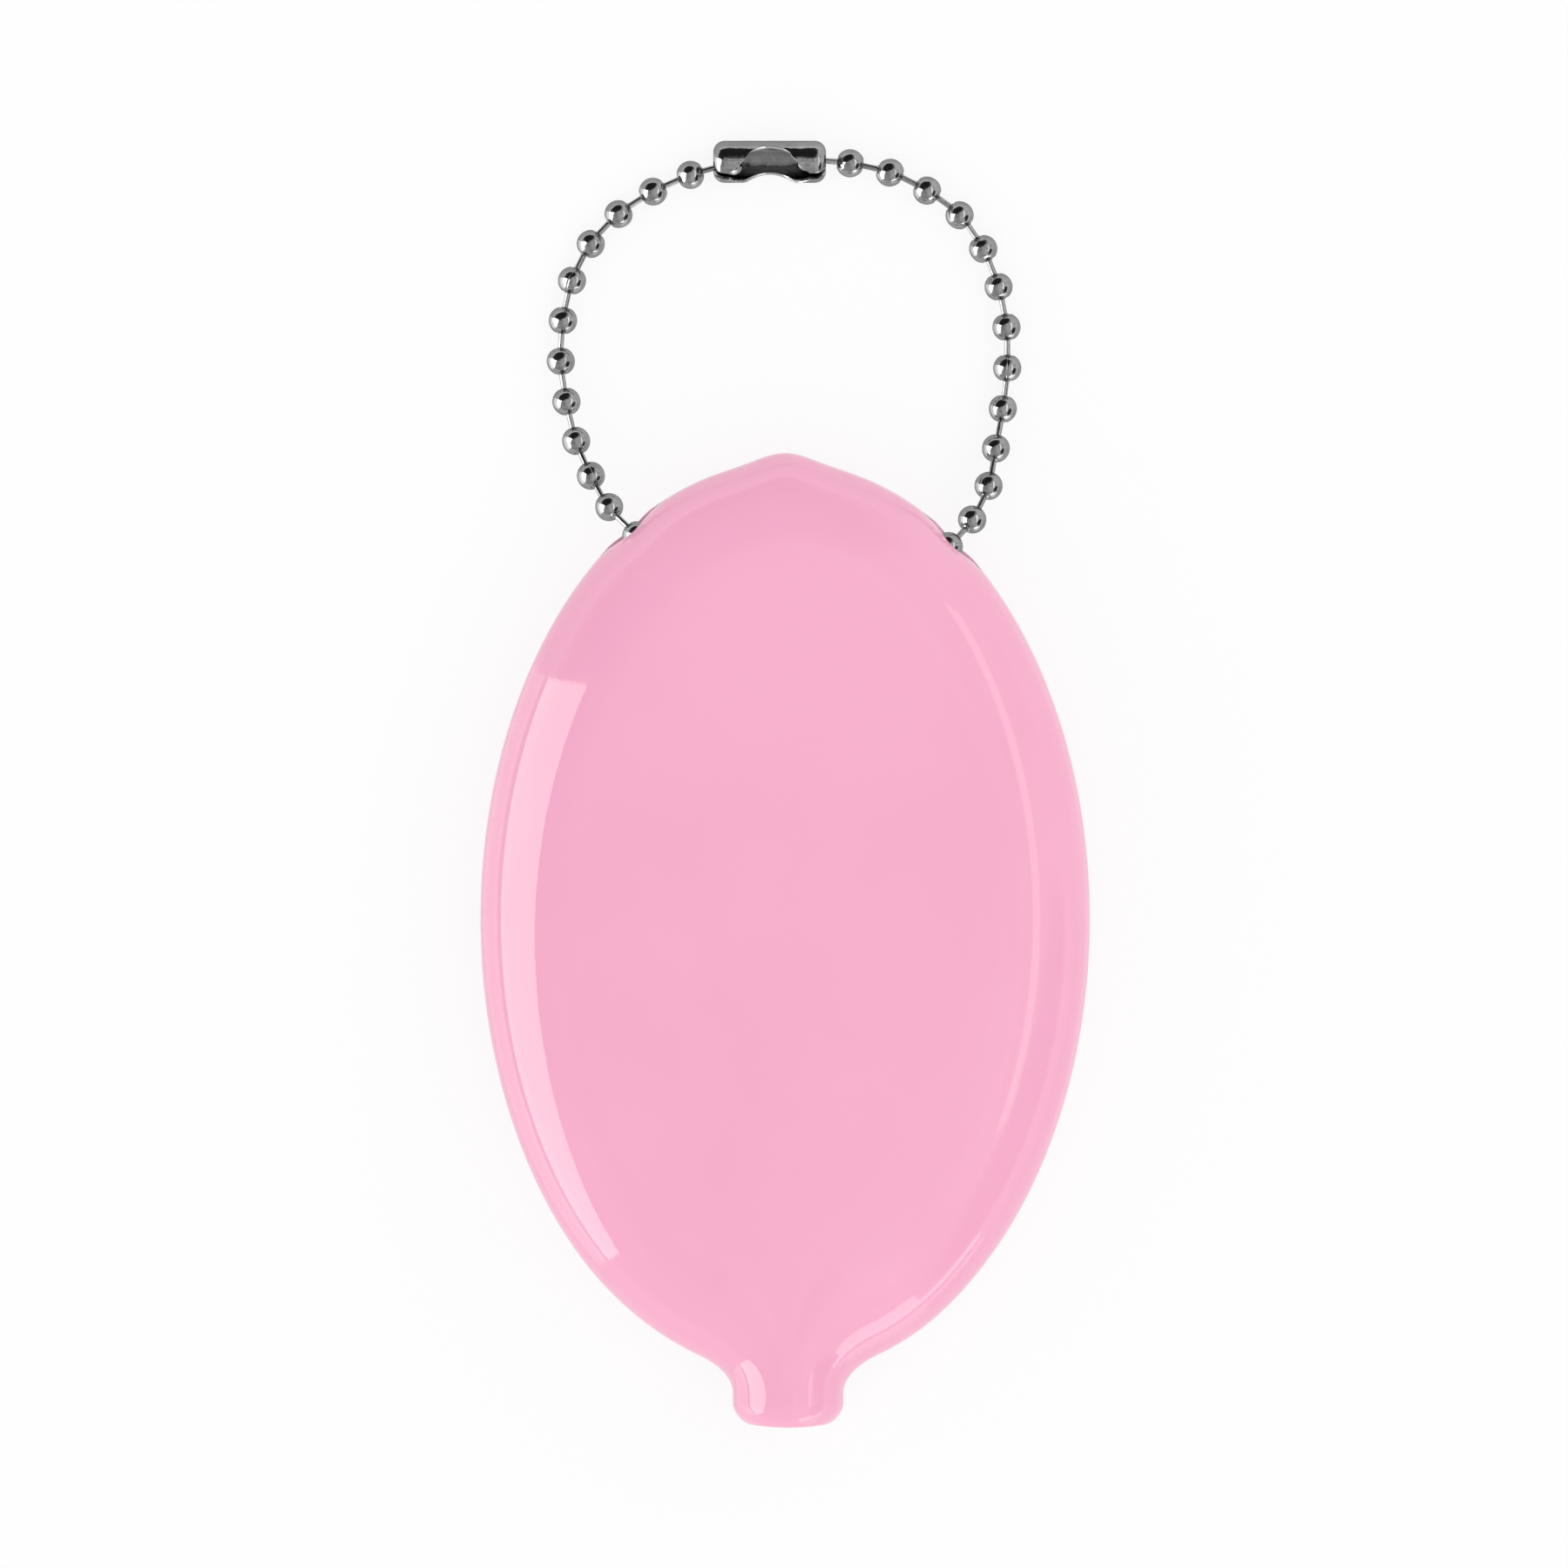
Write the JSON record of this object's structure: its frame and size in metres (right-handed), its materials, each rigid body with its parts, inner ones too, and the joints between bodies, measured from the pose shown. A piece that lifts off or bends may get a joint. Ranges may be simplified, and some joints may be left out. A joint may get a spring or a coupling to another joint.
{
  "type": "squeeze coin purse",
  "caption": "Flat oval soft-vinyl coin purse with a slit rear that gapes when squeezed, a short neck, and a metal ball chain loop with a barrel connector.",
  "frame": {"origin": "on the rear face, at the middle of the slit", "axes": "+Y from the neck towards the tip and the chain, +Z out of the front face, +X to the right as the front is seen"},
  "size_m": [0.051, 0.1079, 0.0124],
  "materials": {
    "vinyl": "glossy soft vinyl",
    "nickel": "bright nickel plate"
  },
  "bodies": {
    "purse": {"shell": "vinyl", "left_cut_bead": "nickel", "right_cut_bead": "nickel", "inner_bead_1": "nickel", "inner_bead_2": "nickel", "inner_bead_3": "nickel", "inner_bead_4": "nickel", "inner_bead_5": "nickel", "inner_bead_6": "nickel", "inner_bead_7": "nickel", "inner_bead_8": "nickel", "inner_pins": "nickel"},
    "left_lip": {"left_lip": "vinyl"},
    "right_lip": {"right_lip": "vinyl"},
    "rung_1": {"left_bead_1": "nickel", "right_bead_1": "nickel", "rung_pins_1": "nickel"},
    "rung_2": {"left_bead_2": "nickel", "right_bead_2": "nickel", "rung_pins_2": "nickel"},
    "rung_3": {"left_bead_3": "nickel", "right_bead_3": "nickel", "rung_pins_3": "nickel"},
    "rung_4": {"left_bead_4": "nickel", "right_bead_4": "nickel", "rung_pins_4": "nickel"},
    "rung_5": {"left_bead_5": "nickel", "right_bead_5": "nickel", "rung_pins_5": "nickel"},
    "rung_6": {"left_bead_6": "nickel", "right_bead_6": "nickel", "rung_pins_6": "nickel"},
    "rung_7": {"left_bead_7": "nickel", "right_bead_7": "nickel", "rung_pins_7": "nickel"},
    "rung_8": {"left_bead_8": "nickel", "right_bead_8": "nickel", "rung_pins_8": "nickel"},
    "rung_9": {"left_bead_9": "nickel", "right_bead_9": "nickel", "rung_pins_9": "nickel"},
    "rung_10": {"left_bead_10": "nickel", "right_bead_10": "nickel", "rung_pins_10": "nickel"},
    "rung_11": {"left_bead_11": "nickel", "right_bead_11": "nickel", "rung_pins_11": "nickel", "right_bead_12": "nickel"},
    "clasp": {"left_end_bead": "nickel", "right_end_bead": "nickel", "clasp_pins": "nickel"},
    "connector": {"connector": "nickel"}
  },
  "joints": [
    {"name": "left_lip_fold", "type": "hinge", "parent": "purse", "child": "left_lip", "pos_m": [-0.01375, 0, 0], "axis": [0, 1, 0], "range_deg": [0, 40], "stiffness_Nm_per_rad": 0.02, "springref_deg": -5.73},
    {"name": "right_lip_fold", "type": "hinge", "parent": "purse", "child": "right_lip", "pos_m": [0.01375, 0, 0], "axis": [0, -1, 0], "range_deg": [0, 40], "stiffness_Nm_per_rad": 0.02, "springref_deg": -5.73},
    {"name": "rung_1_bend", "type": "hinge", "parent": "purse", "child": "rung_1", "pos_m": [0.00062, 0.03214, 0.00604], "axis": [0.9994, -0.0343, -0.0029], "range_deg": [-4, 30]},
    {"name": "rung_2_bend", "type": "hinge", "parent": "rung_1", "child": "rung_2", "pos_m": [0.00043, 0.03449, 0.0046], "axis": [0.9991, -0.033, -0.0258], "range_deg": [-15, 15]},
    {"name": "rung_3_bend", "type": "hinge", "parent": "rung_2", "child": "rung_3", "pos_m": [0.00035, 0.03729, 0.0031], "axis": [0.9996, -0.0238, -0.0156], "range_deg": [-15, 15]},
    {"name": "rung_4_bend", "type": "hinge", "parent": "rung_3", "child": "rung_4", "pos_m": [0.00003, 0.04039, 0.00192], "axis": [0.9998, -0.0172, -0.0142], "range_deg": [-15, 15]},
    {"name": "rung_5_bend", "type": "hinge", "parent": "rung_4", "child": "rung_5", "pos_m": [-0.00007, 0.04373, 0.00142], "axis": [0.9997, -0.0161, -0.0156], "range_deg": [-15, 15]},
    {"name": "rung_6_bend", "type": "hinge", "parent": "rung_5", "child": "rung_6", "pos_m": [-0.00011, 0.04715, 0.0013], "axis": [0.9999, -0.0151, -0.0051], "range_deg": [-15, 15]},
    {"name": "rung_7_bend", "type": "hinge", "parent": "rung_6", "child": "rung_7", "pos_m": [-0.00004, 0.05058, 0.00119], "axis": [0.9999, -0.0149, 0.0007], "range_deg": [-15, 15]},
    {"name": "rung_8_bend", "type": "hinge", "parent": "rung_7", "child": "rung_8", "pos_m": [0.00003, 0.05391, 0.0012], "axis": [0.9999, -0.0146, 0], "range_deg": [-15, 15]},
    {"name": "rung_9_bend", "type": "hinge", "parent": "rung_8", "child": "rung_9", "pos_m": [0.00018, 0.05697, 0.0012], "axis": [0.9999, -0.0113, 0], "range_deg": [-15, 15]},
    {"name": "rung_10_bend", "type": "hinge", "parent": "rung_9", "child": "rung_10", "pos_m": [0.00036, 0.05953, 0.0012], "axis": [1, -0.0019, 0], "range_deg": [-15, 15]},
    {"name": "rung_11_bend", "type": "hinge", "parent": "rung_10", "child": "rung_11", "pos_m": [0.00041, 0.06138, 0.0012], "axis": [1, 0.0057, 0], "range_deg": [-15, 15]},
    {"name": "clasp_tilt", "type": "hinge", "parent": "rung_11", "child": "clasp", "pos_m": [-0.00126, 0.06305, 0.00126], "axis": [0.9975, 0.0703, 0], "range_deg": [-20, 20]},
    {"name": "connector_roll", "type": "hinge", "parent": "clasp", "child": "connector", "pos_m": [-0.00131, 0.0635, 0.00177], "axis": [1, 0, 0], "range_deg": [-90, 90]}
  ],
  "couplings": [
    {"joint": "right_lip_fold", "follows": "left_lip_fold", "ratio": 1}
  ]
}
